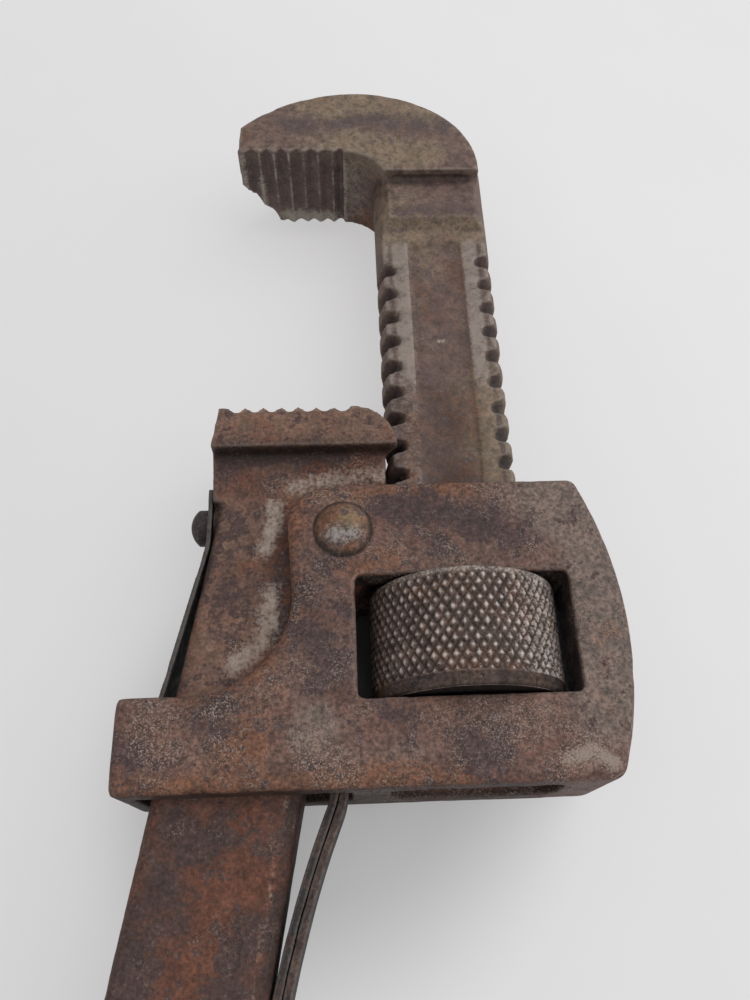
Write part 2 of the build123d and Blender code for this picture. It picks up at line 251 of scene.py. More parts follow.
def rise(tree, value, low, high, to_low=0.0, to_high=1.0):
    """Goes smoothly from one number to the other as the value passes from low to high."""
    sockets = {"Value": value, "From Min": low, "From Max": high, "To Min": to_low, "To Max": to_high}
    return put(tree, "ShaderNodeMapRange", sockets, interpolation_type="SMOOTHSTEP").outputs["Result"]


def grey(tree, value):
    """A colour with the same value in its three parts."""
    return put(tree, "ShaderNodeCombineColor", {0: value, 1: value, 2: value}).outputs[0]


def lay(tree, share, under, top, how="MIX"):
    """One colour laid over another."""
    sockets = {0: share, 6: under, 7: top}
    return put(tree, "ShaderNodeMix", sockets, data_type="RGBA", blend_type=how).outputs[2]


mark_layers = ("Edge", "Hollow", "Bare", "Dark", "Red", "Olive", "Chalk")


def make_aged_iron():
    """Old oiled and rusted iron: brown skin, dark scale, red rust, olive film, pale specks, bare metal."""
    tree = bpy.data.node_groups.new("aged_iron", "ShaderNodeTree")
    add_sockets(tree, "INPUT", "Vector", "Vector")
    add_sockets(tree, "INPUT", "Float", *mark_layers)
    add_sockets(tree, "INPUT", "Color", "Brown", "Scale", "Rust", "Film", "Steel", "Speck")
    add_sockets(tree, "INPUT", "Float", "Scale Share", "Rust Share", "Film Share", "Speck Share")
    add_sockets(tree, "INPUT", "Float", "Edge Wear", "Grain")
    add_sockets(tree, "OUTPUT", "Color", "Color")
    add_sockets(tree, "OUTPUT", "Float", "Roughness", "Metal", "Height")
    given = put(tree, "NodeGroupInput").outputs
    spot = given["Vector"]
    other_place = (0.61, 0.27, 0.43)
    aside = reckon_vector(tree, "ADD", spot, other_place)

    # Mottling from the size of a coin down to the size of dust
    broad = cloud(tree, spot, scale=60.0, detail=4.0, rough=0.55, stir=0.3)
    flush = cloud(tree, spot, scale=130.0, detail=6.0, rough=0.62, stir=0.3)
    blotch = cloud(tree, aside, scale=170.0, detail=8.0, rough=0.68, stir=0.3)
    mottle = cloud(tree, aside, scale=480.0, detail=4.0, rough=0.62)
    grain = cloud(tree, spot, scale=1700.0, detail=3.0, rough=0.62)
    dust = cloud(tree, aside, scale=3100.0, detail=2.0, rough=0.6)

    # Olive film, red rust and dark scale, laid over the brown in that order
    filmed = sums(tree, given["Film Share"], (broad, 0.7), (mottle, 0.3), (given["Olive"], 0.45))
    film = rise(tree, filmed, 0.48, 0.8)
    rusted = sums(tree, given["Rust Share"], (flush, 0.6), (mottle, 0.4), (given["Red"], 0.25))
    rust = rise(tree, rusted, 0.5, 0.72)
    scaled = sums(tree, given["Scale Share"], (blotch, 0.45), (mottle, 0.55), (given["Dark"], 0.15))
    scale = rise(tree, scaled, 0.54, 0.615)
    colour = lay(tree, film, given["Brown"], given["Film"])
    colour = lay(tree, rust, colour, given["Rust"])
    colour = lay(tree, scale, colour, given["Scale"])

    # Lighter and darker patches and grit, and painted shade with dirt in the hollows
    patchy = rise(tree, mottle, 0.3, 0.7, to_low=0.60, to_high=1.40)
    gritty = sums(tree, 1.0, (rise(tree, grain, 0.3, 0.7, to_low=-0.4, to_high=0.42), given["Grain"]))
    shade_and_dirt = rise(tree, given["Hollow"], 0.0, 1.0, to_low=1.0, to_high=0.3)
    shade = reckon(tree, "MULTIPLY", reckon(tree, "MULTIPLY", patchy, gritty), shade_and_dirt)
    colour = lay(tree, 1.0, colour, grey(tree, shade), "MULTIPLY")

    # Bare metal on worn edges and rubbed faces
    worn = rise(tree, sums(tree, given["Edge"], (mottle, 1.0), (grain, 0.8)), 1.35, 1.95)
    worn = times(tree, worn, given["Edge Wear"])
    bare = rise(tree, sums(tree, given["Bare"], (mottle, 0.9), (grain, 1.6)), 1.45, 2.35)
    metal = reckon(tree, "MAXIMUM", worn, bare)
    sheen = rise(tree, mottle, 0.25, 0.75, to_low=0.8, to_high=1.2)
    bright = lay(tree, 1.0, given["Steel"], grey(tree, sheen), "MULTIPLY")
    colour = lay(tree, metal, colour, bright)

    # Pale specks strewn in patches, and chalky scuffs
    strewn = sums(tree, given["Speck Share"], (flush, 0.5), (blotch, 0.5), (given["Chalk"], 0.4))
    strewn = rise(tree, strewn, 0.51, 0.68)
    specks = rise(tree, sums(tree, dust, (grain, 0.35)), 0.66, 0.84)
    specks = times(tree, specks, strewn)
    scuff = rise(tree, sums(tree, given["Chalk"], (mottle, 1.2), (dust, 2.2)), 2.05, 2.75)
    pale = reckon(tree, "MAXIMUM", specks, scuff)
    colour = lay(tree, pale, colour, given["Speck"])

    # A rough, pitted skin, smoother where it is rubbed bare
    pits = rise(tree, sums(tree, mottle, (grain, 0.6)), 0.62, 0.42)
    height = sums(tree, grain, (mottle, 0.8), (pits, -0.5), (pale, 0.25))
    rubbed_flat = rise(tree, given["Bare"], 0.0, 0.8, to_low=1.0, to_high=0.25)
    height = reckon(tree, "MULTIPLY", height, rubbed_flat)
    rough = rise(tree, mottle, 0.3, 0.7, to_low=0.52, to_high=0.74)
    rough = sums(tree, rough, (metal, -0.12), (rust, 0.1))
    shine = times(tree, metal, 0.4)
    put(tree, "NodeGroupOutput", {"Color": colour, "Roughness": rough, "Metal": shine, "Height": height})
    return tree


aged_iron = make_aged_iron()


def finish(name, bump, gloss=0.3, **values):
    """A material of aged iron for one kind of piece, with that piece's own colours and shares."""
    bump_strength = 0.75
    made = bpy.data.materials.new(name)
    made.use_nodes = True
    tree = made.node_tree
    shader = tree.nodes["Principled BSDF"]
    shader.inputs["Specular IOR Level"].default_value = gloss
    skin = put(tree, "ShaderNodeGroup", node_tree=aged_iron)
    tree.links.new(put(tree, "ShaderNodeTexCoord").outputs["Object"], skin.inputs["Vector"])
    for layer in mark_layers:
        mark = put(tree, "ShaderNodeAttribute", attribute_name=layer.lower())
        tree.links.new(mark.outputs["Fac"], skin.inputs[layer])
    for key, value in values.items():
        skin.inputs[key.replace("_", " ")].default_value = value
    bumps = {"Height": skin.outputs["Height"], "Strength": bump_strength, "Distance": bump}
    relief = put(tree, "ShaderNodeBump", bumps)
    for given, taken in (("Color", "Base Color"), ("Roughness", "Roughness"), ("Metal", "Metallic")):
        tree.links.new(skin.outputs[given], shader.inputs[taken])
    tree.links.new(relief.outputs["Normal"], shader.inputs["Normal"])
    return made


def dress(piece, material, node, body):
    """Gives a finished piece its material, the node it stands for and the body it rides on."""
    piece.data.materials.clear()
    piece.data.materials.append(material)
    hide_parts(node)
    if body:
        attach(piece, body)


bar_finish = finish(
    "bar_finish", bump=0.0002,
    Brown=(0.113, 0.052, 0.037, 1), Scale=(0.059, 0.035, 0.031, 1), Rust=(0.130, 0.051, 0.031, 1),
    Film=(0.180, 0.105, 0.076, 1), Steel=(0.320, 0.262, 0.218, 1), Speck=(0.250, 0.180, 0.145, 1),
    Scale_Share=0.035, Rust_Share=0.05, Film_Share=0.0, Speck_Share=0.0, Edge_Wear=0.2, Grain=0.75)
bar = weathered("bar", "handle_bar", voxel=0.00051, seed=1)
bar_points = read(bar.data.vertices, "co", 3)

# The handle leans from the shank's line; its back corner is rubbed bright beside a darker back edge
pivot = Vector(next(joint["pos_m"] for joint in frame["joints"] if joint["name"] == "frame_rock"))
bar_lean = math.radians(9.7)
handle_top = 0.022
handle_fade = 0.004
corner_at = -0.0026
corner_width = 0.0005
back_edge_at = -0.0023
back_edge_fade = 0.0006
right_of_pivot = bar_points[:, 0] - pivot.x
above_pivot = bar_points[:, 1] - pivot.y
across = right_of_pivot * math.cos(bar_lean) - above_pivot * math.sin(bar_lean)
down = -right_of_pivot * math.sin(bar_lean) - above_pivot * math.cos(bar_lean)
on_handle = ramp(down, handle_top, handle_top + handle_fade)
back_edge = on_handle * ramp(across, back_edge_at, back_edge_at + back_edge_fade)
corner = on_handle * np.exp(-((across - corner_at) / corner_width) ** 2)
rubbed_corner = corner * (0.5 + 0.6 * ripple(bar_points, size=0.006, seed=6))
lengthwise = np.array((1.0, 0.12, 1.0))
scratches = 0.95 + 0.5 * ripple(bar_points * lengthwise, size=0.0007, seed=5)

# Marks seen on the bar's face and, higher, on the slope up to the heel jaw
bar_face = 23
# The third rubbed streak, across the neck above the frame, is worn metal with a painted highlight
rubbed_and_neck_highlight = beside(
    bar_points,
    streak(bar_face, (-5.6, 69.4), (-5.8, 65.4), (-7.2, 60.3), reach=2.1, strength=0.95),
    streak(bar_face, (-6.3, 51.6), (-6.2, 46.4), (-8.1, 42.4), (-11.9, 39.0), reach=2.3, strength=0.88),
    streak(24, (-2.4, 73.1), (5.6, 74.7), (15.3, 75.3), reach=2.0, strength=0.75))
# Painted shade under the heel jaw and along the bar's left side beside the front leaf
under_jaw = beside(
    bar_points,
    streak(27, (-15.7, 79.0), (-5.0, 79.2), (5.7, 79.5), (16.0, 79.8), reach=2.6, strength=1.0),
    streak(22, (-17.3, 71.5), (-17.1, 65.1), (-18.0, 58.9), (-19.0, 53.5), reach=1.6, strength=1.0))
# The first dark streak, under the heel jaw, is painted shade; the others are dark scale
bar_dark = beside(
    bar_points,
    streak(26, (-15.7, 78.2), (-5.0, 78.6), (5.7, 79.2), reach=2.2, strength=1.0),
    streak(bar_face, (-11.7, 65.0), (-14.1, 58.3), (-13.3, 51.8), reach=4.0, strength=0.45),
    streak(bar_face, (-3.7, 67.6), (-4.9, 58.0), (-4.0, 47.3), (-6.1, 40.8), reach=1.6, strength=0.5),
    streak(bar_face, (-20.9, 12.3), (-15.3, 9.7), reach=4.0, strength=0.8),
    streak(bar_face, (-22.8, 3.7), (-27.1, -7.2), (-33, -40), reach=4.0, strength=0.8),
    streak(bar_face, (-9.5, -3.7), (-11.1, -9.8), (-15, -30), reach=3.5, strength=0.8),
    streak(bar_face, (-36, -90), reach=12.0, strength=0.6))
bar_red = beside(
    bar_points,
    streak(bar_face, (-3.7, 67.6), (-4.9, 58.0), (-4.8, 52.6), (-4.0, 47.3), (-6.1, 40.8),
           reach=2.2, strength=0.9),
    streak(25, (1.4, 76.7), (11.1, 77.6), reach=3.0, strength=0.8),
    streak(bar_face, (-10.5, 12.8), reach=4.0, strength=0.8),
    streak(bar_face, (-8.3, 4.1), (-15.1, 5.2), (-16.5, -4.3), (-17.6, -9.6), (-24, -40),
           reach=5.0, strength=0.9))
bar_olive = beside(
    bar_points,
    streak(29, (-14.0, 82.0), (14.0, 84.5), reach=6.0, strength=1.0),
    streak(bar_face, (-13.0, 66.0), (-16.0, 48.0), (-18.0, 36.0), reach=8.0, strength=0.7),
    streak(bar_face, (0.0, 72.0), reach=8.0, strength=0.6))
# The chalk streak across the neck at height 24 is pale wear with a painted highlight
bar_chalk_and_highlight = beside(
    bar_points,
    streak(bar_face, (-6.7, 42.1), (-4.7, 41.9), reach=0.5, strength=1.4),
    streak(24, (5.6, 74.7), (15.3, 75.3), reach=1.6, strength=0.4),
    streak(bar_face, (-8.1, 42.4), (-11.9, 39.0), reach=2.2, strength=0.35),
    streak(25, (10.0, 76.5), reach=2.5, strength=0.35))
keep(bar.data, "bare", scratches * most(0.7 * rubbed_corner, rubbed_and_neck_highlight))
keep(bar.data, "hollow", most(0.5 * back_edge, under_jaw))
keep(bar.data, "dark", most(0.5 * back_edge, bar_dark))
keep(bar.data, "red", bar_red)
keep(bar.data, "olive", bar_olive)
keep(bar.data, "chalk", bar_chalk_and_highlight)
dress(bar, bar_finish, "handle_bar", "handle")


# Leaf springs and their rivets
# Blued spring strip, one leaf on the front edge of the bar and a pair on its back edge, held by small domed
# rivets. Their free ends press on the frame's inner walls, so the ends move with the frame as it rocks.
spring_finish = finish(
    "spring_finish", bump=0.00014,
    Brown=(0.074, 0.044, 0.034, 1), Scale=(0.022, 0.018, 0.019, 1), Rust=(0.104, 0.053, 0.036, 1),
    Film=(0.062, 0.052, 0.050, 1), Steel=(0.200, 0.180, 0.165, 1), Speck=(0.200, 0.175, 0.155, 1),
    Scale_Share=0.04, Rust_Share=0.02, Film_Share=0.02, Speck_Share=-0.04, Edge_Wear=0.3, Grain=0.8)

# Two places along each leaf: where its bend starts near the bar, and near its free end
middle = pivot.z
bend_start = 0.030
tip_inset = 0.001
front_root_inset = 0.002
front_tip_rise = 0.002
back_root_inset = 0.008
back_tip_drop = 0.004
front_low, front_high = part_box("front_spring")
front_bend = ((front_high.x - front_root_inset, front_low.y + bend_start, middle),
              (front_low.x + tip_inset, front_low.y + front_tip_rise, middle))
back_low, back_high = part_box("back_spring_inner_leaf")
back_bend = ((back_low.x + back_root_inset, back_low.y + bend_start, middle),
             (back_high.x - tip_inset, back_high.y - back_tip_drop, middle))

# Painted shade darkens the leaves below their upper rims, so only the rims look lit; the front one is the
# dirtiest all over
bright_rim = 0.0004
leaves = (("front_leaf", "front_spring", front_bend, 0.9, 0.3, 0.6, 11),
          ("back_inner_leaf", "back_spring_inner_leaf", back_bend, 0.7, 0.1, 0.3, 12),
          ("back_outer_leaf", "back_spring_outer_leaf", back_bend, 0.4, 0.0, 0.0, 13))
for name, node, (lift, tip), shade, dirt, scale, seed in leaves:
    leaf = weathered(name, node, voxel=0.00024, swell=0.03, pit=0.02, ding=0.1, seed=seed)
    leaf_height = read(leaf.data.vertices, "co", 3)[:, 2]
    shaded = ramp(leaf_height.max() - leaf_height, bright_rim, 2 * bright_rim)
    keep(leaf.data, "hollow", np.maximum(shade * shaded, dirt))
    keep(leaf.data, "dark", np.maximum(0.6 * shaded, scale))
    dress(leaf, spring_finish, node, None)
    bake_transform(leaf)

rivet_finish = finish(
    "rivet_finish", bump=0.0002,
    Brown=(0.126, 0.075, 0.055, 1), Scale=(0.060, 0.043, 0.042, 1), Rust=(0.166, 0.077, 0.044, 1),
    Film=(0.192, 0.134, 0.073, 1), Steel=(0.300, 0.277, 0.265, 1), Speck=(0.320, 0.290, 0.270, 1),
    Scale_Share=0.0, Rust_Share=0.05, Film_Share=-0.06, Speck_Share=0.0, Edge_Wear=0.3, Grain=0.8)
small_rivets = (("front_leaf_rivet", "front_spring_rivet", 14), ("back_leaf_rivet", "back_spring_rivet", 15))
for name, node, seed in small_rivets:
    small_rivet = weathered(name, node, voxel=0.0002, swell=0.05, pit=0.04, ding=0.15, seed=seed)
    all_over = np.ones(len(small_rivet.data.vertices))
    keep(small_rivet.data, "dark", all_over)
    keep(small_rivet.data, "hollow", 0.5 * all_over)
    dress(small_rivet, rivet_finish, node, "handle")


# Frame
# A malleable iron casting: two plates joined by webs, with a window for the nut and a scoop beside the bar.
# It hangs on the pivot rivet. Its cast skin has rusted in patches of brown, purple and red.
frame_finish = finish(
    "frame_finish", bump=0.00022,
    Brown=(0.135, 0.070, 0.053, 1), Scale=(0.058, 0.035, 0.033, 1), Rust=(0.162, 0.073, 0.043, 1),
    Film=(0.168, 0.122, 0.101, 1), Steel=(0.230, 0.190, 0.160, 1), Speck=(0.290, 0.228, 0.188, 1),
    Scale_Share=0.025, Rust_Share=-0.01, Film_Share=0.02, Speck_Share=0.05, Edge_Wear=0.15, Grain=1.0)
housing = weathered("housing", "frame", voxel=0.00042, seed=21)
housing_points = read(housing.data.vertices, "co", 3)


def arc(centre, radius, start, end, count):
    """Points along an arc between two angles in degrees."""
    angles = np.radians(np.linspace(start, end, count))
    return [(centre[0] + radius * math.cos(a), centre[1] + radius * math.sin(a)) for a in angles]


# The plates' edge round the scoop is rounded over, so it sinks a little; the arcs are in millimetres
rim_sink = 0.0009
plate_inside = 7.0
plate_outside = 12.0
rim_from_pivot = arc((-26.8, -11.3), 17.55, -90, 0, 9) + arc((-2.7, 1.9), 7.5, 180, 90, 6)
rim = [(pivot.x * millimetres + x, pivot.y * millimetres + y) for x, y in rim_from_pivot]
levelled = housing_points.copy()
levelled[:, 2] = middle
at_rim = beside(levelled, streak(middle * millimetres, *rim, reach=2.8, strength=1.0))
off_middle = housing_points[:, 2] - middle
depth = np.abs(off_middle) * millimetres
sunk_rim = at_rim * rim_sink * ramp(depth, plate_inside, plate_outside)
housing_points[:, 2] -= np.sign(off_middle) * sunk_rim
housing.data.vertices.foreach_set("co", housing_points.ravel())
housing.data.update()

# Painted shade with dirt on the walls of the window and between the plates, and painted shade under the
# frame's lower end
window_low = np.array((9.1, 30.95))
window_high = np.array((47.1, 52.85))
window_middle = (window_low + window_high) / 2
window_half = (window_high - window_low) / 2
lower_end = 0.0180
shaded_end = 0.046
spread = (np.abs(housing_points[:, :2] * millimetres - window_middle) / window_half).max(1)
window_walls = ramp(spread, 1.03, 0.98) * ramp(depth, plate_outside, plate_outside - 1.0)
outwards = housing_points[:, :2] - window_middle / millimetres
housing_normals = read(housing.data.vertices, "normal", 3)
facing_out = (outwards * housing_normals[:, :2]).sum(1) / np.hypot(*outwards.T)
between_plates = ramp(depth, plate_inside, plate_inside - 1.0) * ramp(facing_out, 0.5, 0.2)
underside = 0.9 * (housing_points[:, 1] < lower_end)
underside *= ramp(housing_points[:, 0], shaded_end, shaded_end - 0.006)
underside *= ramp(depth, plate_outside - 0.2, plate_outside - 1.0)

# Marks seen on the front plate and along its lower edge
plate_face = 30
plate_foot = 29
frame_dark = beside(
    housing_points,
    streak(plate_face, (15.8, 65.8), (21.9, 66.7), (20.7, 64.0), (28.8, 63.2), (33.2, 61.4),
           reach=3.5, strength=0.9),
    streak(plate_face, (23.9, 58.9), reach=3.5, strength=0.8),
    streak(plate_face, (38.1, 60.2), reach=3.5, strength=0.7),
    streak(plate_face, (29.2, 25.1), (28.4, 21.7), reach=4.5, strength=0.8),
    streak(plate_face, (-14.3, 29.0), reach=4.0, strength=0.7),
    streak(plate_face, (16.7, 28.6), reach=4.0, strength=0.6),
    streak(plate_face, (-28.2, 22.6), reach=3.5, strength=0.7),
    streak(plate_face, (2.0, 50.1), (2.5, 42.0), (5.0, 34.0), reach=4.5, strength=0.65))
frame_red = beside(
    housing_points,
    streak(plate_face, (5.5, 54.1), (15.3, 54.9), reach=2.5, strength=0.7),
    streak(plate_face, (10, 68.5), (30, 69.5), reach=2.0, strength=0.8),
    streak(plate_face, (-9.1, 25.9), (-10.0, 22.0), reach=4.5, strength=0.9),
    streak(plate_foot, (-28, 18.0), (3.3, 18.5), (25.6, 18.0), reach=2.5, strength=0.9))
frame_olive = beside(
    housing_points,
    streak(plate_face, (47.0, 66.0), (54.7, 59.2), (53.0, 48.6), (51.1, 30.0), reach=8.0, strength=1.0),
    streak(plate_face, (2.0, 27.0), reach=4.0, strength=0.8),
    streak(plate_face, (40.0, 66.0), reach=5.0, strength=0.6))
frame_chalk = beside(
    housing_points,
    streak(plate_face, (42.5, 20.3), (47.0, 21.6), (49.5, 19.6), reach=1.9, strength=1.0),
    streak(plate_face, (30.0, 26.5), (40.2, 27.3), reach=3.5, strength=0.45),
    streak(plate_face, (-25.2, 27.9), (-21.4, 23.4), reach=4.0, strength=0.35),
    streak(plate_face, (-13.8, 28.5), reach=3.0, strength=0.3),
    streak(plate_face, (0.4, 23.1), (6.8, 19.6), reach=3.0, strength=0.4))
keep(housing.data, "hollow", most(window_walls, between_plates, underside))
keep(housing.data, "dark", most(window_walls, frame_dark))
keep(housing.data, "red", most(0.85 * at_rim, frame_red))
keep(housing.data, "olive", frame_olive)
keep(housing.data, "chalk", frame_chalk)
dress(housing, frame_finish, "frame", "frame")


# Pivot rivet
# A round steel rivet through both plates and the bar, with low domed heads hammered over at front and back.
# Its crown is ochre and red above and pale below, rubbed bare with a painted highlight; painted shade lies
# round its foot.
rivet = weathered("rivet", "pivot_rivet", voxel=0.0002, swell=0.08, pit=0.05, seed=31)
rivet_points = read(rivet.data.vertices, "co", 3)
crown = 32
shoulder = 31
foot_height = 0.0138
# Painted shade round the rivet's foot
foot = ramp(np.abs(rivet_points[:, 2] - middle), foot_height, foot_height - 0.0009)
rivet_red = beside(
    rivet_points,
    streak(shoulder, (4.0, 62.5), reach=3.0, strength=0.8),
    streak(shoulder, (8.5, 57.5), reach=2.0, strength=0.7))
# The pale bare patch low on the crown is worn metal with a painted highlight
rivet_bare_and_highlight = beside(rivet_points, streak(crown, (5.1, 59.6), (9.0, 59.5), reach=1.9, strength=0.75))
rivet_chalk_and_highlight = beside(rivet_points, streak(crown, (5.1, 59.8), (9.0, 59.7), reach=1.6, strength=0.4))
keep(rivet.data, "hollow", foot)
keep(rivet.data, "olive", beside(rivet_points, streak(crown, (8.6, 62.6), reach=3.0, strength=0.8)))
keep(rivet.data, "red", rivet_red)
keep(rivet.data, "bare", rivet_bare_and_highlight)
keep(rivet.data, "chalk", rivet_chalk_and_highlight)
dress(rivet, rivet_finish, "pivot_rivet", "frame")


# Hook jaw
# A forged hook on a flat shank. Its teeth are cut across the jaw, and the shank's two edges carry the
# segments of a thread. The shank's flats are rubbed grey beside a rough sunk panel.
hook_finish = finish(
    "hook_finish", bump=0.00018,
    Brown=(0.134, 0.085, 0.071, 1), Scale=(0.088, 0.061, 0.056, 1), Rust=(0.136, 0.068, 0.045, 1),
    Film=(0.190, 0.139, 0.097, 1), Steel=(0.238, 0.197, 0.170, 1), Speck=(0.330, 0.290, 0.245, 1),
    Scale_Share=0.0, Rust_Share=-0.02, Film_Share=0.04, Speck_Share=-0.08, Edge_Wear=0.5, Grain=0.4)
hook = weathered("hook", "hook_jaw", voxel=0.000435, seed=41)
hook_points = read(hook.data.vertices, "co", 3)

# The shank's flats, its sunk panel between them and the thread's grooves, found from the nut's axis
nut_low, nut_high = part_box("adjusting_nut")
axis_x = (nut_low.x + nut_high.x) / 2
shank_top = 75
panel_side = 6.1
flat_start = 5.9
flat_face = 5.3
groove_start = 9.2
thread_root = 12.6
off_axis = np.abs(hook_points[:, 0] - axis_x) * millimetres
off_centre = np.abs(hook_points[:, 2] - middle) * millimetres
up_shank = (hook_points[:, 1] - pivot.y) * millimetres
shank = ramp(up_shank, shank_top, shank_top - 3)
flats = shank * ramp(off_centre, flat_face, flat_face + 0.4) * ramp(off_axis, flat_start, flat_start + 0.3)
panel = shank * ramp(off_axis, panel_side, panel_side - 0.3)
in_thread = ramp(np.hypot(off_axis, off_centre), thread_root, thread_root - 1.2)
grooves = shank * ramp(off_axis, groove_start, groove_start + 0.8) * in_thread

# The toothed face of the jaw and the crests of its teeth
hook_teeth = 0.0959
jaw_line = pivot.y + hook_teeth
jaw_end = 0.0105
jaw_side = 10.4
tooth_root = jaw_line + 0.0019
tooth_crest = jaw_line + 0.00034
hook_height = hook_points[:, 1]
toothed = ramp(hook_points[:, 0], jaw_end, jaw_end - 0.001)
toothed *= ramp(hook_height, tooth_root, tooth_root - 0.0003)
toothed *= 1 - ramp(off_centre, jaw_side, jaw_side + 0.5)
crests = toothed * ramp(hook_height, tooth_crest, tooth_crest - 0.0002)
crests *= 0.75 + 0.5 * ripple(hook_points, size=0.003, seed=43)

# In the hollows, painted shade and dirt are lessened on the step between the shank and the hook, and none is
# left in the throat's corner
step_low = 0.1345
step_high = 0.1475
step_fade = 0.001
on_step = ramp(hook_height, step_low, step_low + step_fade)
on_step *= ramp(hook_height, step_high, step_high - step_fade)
throat_corner = beside(hook_points, streak(9, (15.6, 156.0), reach=3.5, strength=1.0))
turned_in = layer_of(hook.data, "hollow") * (1 - 0.85 * on_step) * (0.75 - 0.75 * throat_corner)

# Marks seen on the shank, the step and the head
shank_face = 23
head_face = 29
ochre = beside(hook_points, streak(shank_face, (37.2, 92.0), (36.8, 70.0), reach=6.0, strength=1.0))
browned = beside(hook_points, streak(shank_face, (21.7, 92.0), (21.0, 70.0), reach=5.0, strength=0.8))
throat = beside(hook_points, streak((22, 10), (11, 157), (12, 157), reach=3.5, strength=0.6))
panel_foot = beside(hook_points, streak(shank_face, (29, 90), (29, 70), reach=8.0, strength=0.45))
# The dark streak at height 26 across the step under the head is a painted shadow line
hook_dark_and_painted_shadow = beside(
    hook_points,
    streak(head_face, (-4.9, 165.3), (4.9, 166.1), (13.7, 167.8), (22.3, 166.8), (32.2, 164.9),
           reach=3.2, strength=0.75),
    streak(26, (21.2, 141.5), (39.0, 141.5), reach=2.0, strength=0.8),
    streak(shank_face, (29, 82), (29, 70), reach=6.0, strength=0.35))
hook_red = beside(
    hook_points,
    streak(9, (16.1, 156.3), reach=4.0, strength=1.4),
    streak(head_face, (-13.5, 161.9), reach=4.0, strength=0.4),
    streak(shank_face, (21.7, 88.0), (21.0, 70.0), reach=3.0, strength=0.7),
    streak(shank_face, (29, 94), (29, 70), reach=6.5, strength=0.7))
# The olive streak at height 24 lightens the step's lower part as painted light against its shade
hook_olive_and_painted_light = beside(
    hook_points,
    streak(head_face, (10.0, 158.5), (28.5, 156.3), reach=4.0, strength=1.0),
    streak(head_face, (1.2, 172.4), (20.1, 172.2), (33, 168), reach=3.5, strength=0.9),
    streak(24, (16.0, 138.5), (42.0, 138.5), reach=2.2, strength=0.55),
    streak(shank_face, (19.8, 134.4), reach=3.0, strength=0.8),
    streak(shank_face, (37.5, 134.9), reach=3.5, strength=0.9))
hook_chalk = beside(
    hook_points,
    streak((20, 12), (-10.5, 157), (-10, 157), reach=1.4, strength=0.9),
    streak((8, 7), (-5.1, 158), (6.2, 158), reach=2.4, strength=1.2),
    streak(shank_face, (28.2, 107.5), (29.4, 107.4), reach=0.5, strength=1.4))
rubbed_flats = 0.95 * flats * (1 - grooves) * (1 - 0.75 * most(ochre, browned))
dirty_panel = panel * np.maximum(0.1, panel_foot)
keep(hook.data, "bare", most(1.2 * crests, throat, rubbed_flats))
keep(hook.data, "hollow", most(0.05 * toothed * (1 - crests), dirty_panel, turned_in * (1 - toothed)))
keep(hook.data, "dark", most(hook_dark_and_painted_shadow, 0.9 * grooves, 0.6 * toothed, 0.25 * panel))
keep(hook.data, "red", most(hook_red, 0.25 * panel))
keep(hook.data, "olive", most(ochre, hook_olive_and_painted_light))
keep(hook.data, "chalk", most(0.6 * crests, hook_chalk))
dress(hook, hook_finish, "hook_jaw", "hook")


# Adjusting nut
# A turned steel ring with a diamond knurl rolled round it and a square thread cut in its bore for the shank.
# It sits in the frame's window, black in the knurl's valleys with oil and painted shade, and bright on its
# tips with wear and painted glints.
nut_around = 399
nut_radius = (nut_high.x - nut_low.x) / 2
nut_centre = Vector((axis_x, 0.0, middle))
bevel = 0.0006
bore_radius = 0.0133
thread_pitch = 0.00635
thread_start = 0.0551
ridge_height = 0.0026
ridge_foot = 0.00155
ridge_top = 0.000775
bore_inset = 0.00002
bevel_edge = nut_radius - bevel
end_steps = (0.06, 0.35, 0.7)
end_radii = [bevel_edge - (bevel_edge - bore_radius) * step for step in end_steps]


def bore_at(y, angle):
    """The bore's radius, less by the thread's ridge where that passes; its helix climbs one pitch a turn."""
    climbed = thread_pitch * (angle - math.pi / 2) / (2 * math.pi)
    turns = (y - pivot.y - thread_start - climbed) / thread_pitch
    from_ridge = abs(turns - round(turns)) * thread_pitch
    return bore_radius - ridge_height * ramp(from_ridge, ridge_foot, ridge_top)


rows = arc((bevel_edge, nut_low.y + bevel), bevel, -90, 0, 5)[:-1]
rows += [(nut_radius, y) for y in np.linspace(nut_low.y + bevel, nut_high.y - bevel, 72)]
rows += arc((bevel_edge, nut_high.y - bevel), bevel, 0, 90, 5)[1:]
rows += [(radius, nut_high.y) for radius in end_radii]
rows += [(None, y) for y in np.linspace(nut_high.y - bore_inset, nut_low.y + bore_inset, 42)]
rows += [(radius, nut_low.y) for radius in reversed(end_radii)]
nut_skin = bmesh.new()
rings = []
for radius, y in rows:
    ring = []
    for k in range(nut_around):
        angle = 2 * math.pi * k / nut_around
        reach = bore_at(y, angle) if radius is None else radius
        place = (axis_x + reach * math.sin(angle), y, middle + reach * math.cos(angle))
        ring.append(nut_skin.verts.new(place))
    rings.append(ring)
for near_ring, far_ring in zip(rings, rings[1:] + rings[:1]):
    for k in range(nut_around):
        beyond = (k + 1) % nut_around
        nut_skin.faces.new((near_ring[k], near_ring[beyond], far_ring[beyond], far_ring[k]))
bmesh.ops.recalc_face_normals(nut_skin, faces=nut_skin.faces)
nut_mesh = bpy.data.meshes.new("nut")
nut_skin.to_mesh(nut_mesh)
nut_skin.free()
nut = bpy.data.objects.new("nut", nut_mesh)
bpy.context.scene.collection.objects.link(nut)
nut_finish = finish(
    "nut_finish", bump=0.00008, gloss=0.1,
    Brown=(0.132, 0.093, 0.079, 1), Scale=(0.054, 0.042, 0.039, 1), Rust=(0.170, 0.098, 0.068, 1),
    Film=(0.148, 0.116, 0.100, 1), Steel=(0.500, 0.448, 0.415, 1), Speck=(0.360, 0.310, 0.280, 1),
    Scale_Share=0.0, Rust_Share=0.05, Film_Share=0.05, Speck_Share=-0.04, Edge_Wear=0.85, Grain=0.7)


